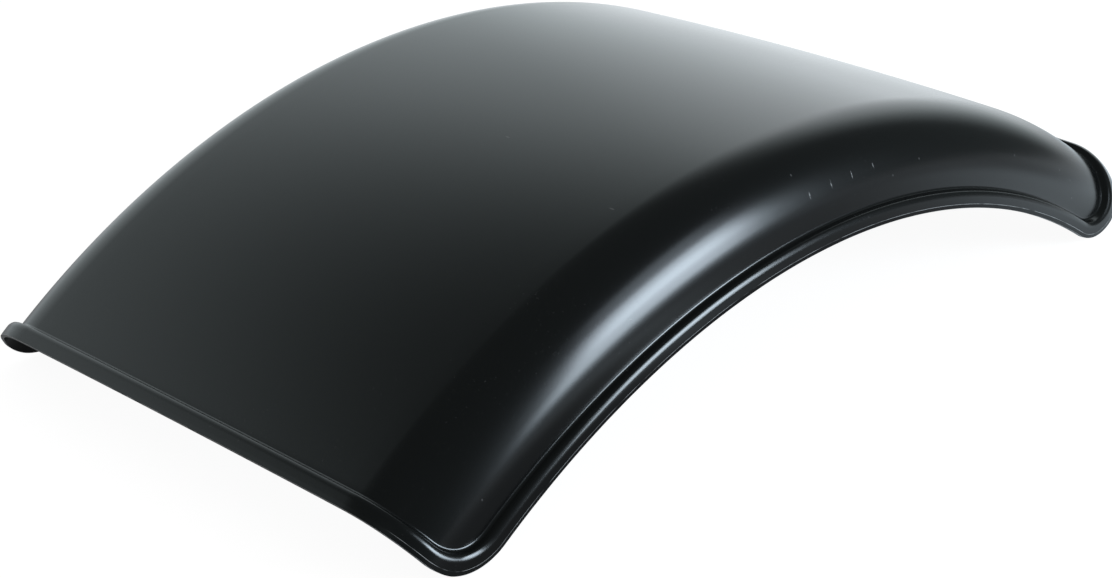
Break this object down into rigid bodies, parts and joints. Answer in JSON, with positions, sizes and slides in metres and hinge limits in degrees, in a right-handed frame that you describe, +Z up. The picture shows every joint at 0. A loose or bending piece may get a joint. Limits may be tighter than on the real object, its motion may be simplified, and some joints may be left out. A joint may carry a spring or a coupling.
{
  "type": "truck mudguard",
  "caption": "Arched black plastic mudguard for one truck wheel, a single moulded sheet with rounded shoulders, leaning side faces and a raised rim all round.",
  "frame": {"origin": "on the floor, under the middle of the arch", "axes": "+X along the truck, +Y across it, +Z up; the wheel's axle would run along Y, below the part"},
  "size_m": [0.7878, 0.4458, 0.1755],
  "materials": {
    "black_plastic": "satin to glossy black, moulded"
  },
  "bodies": {
    "root": {"mudguard": "black_plastic"}
  },
  "joints": []
}
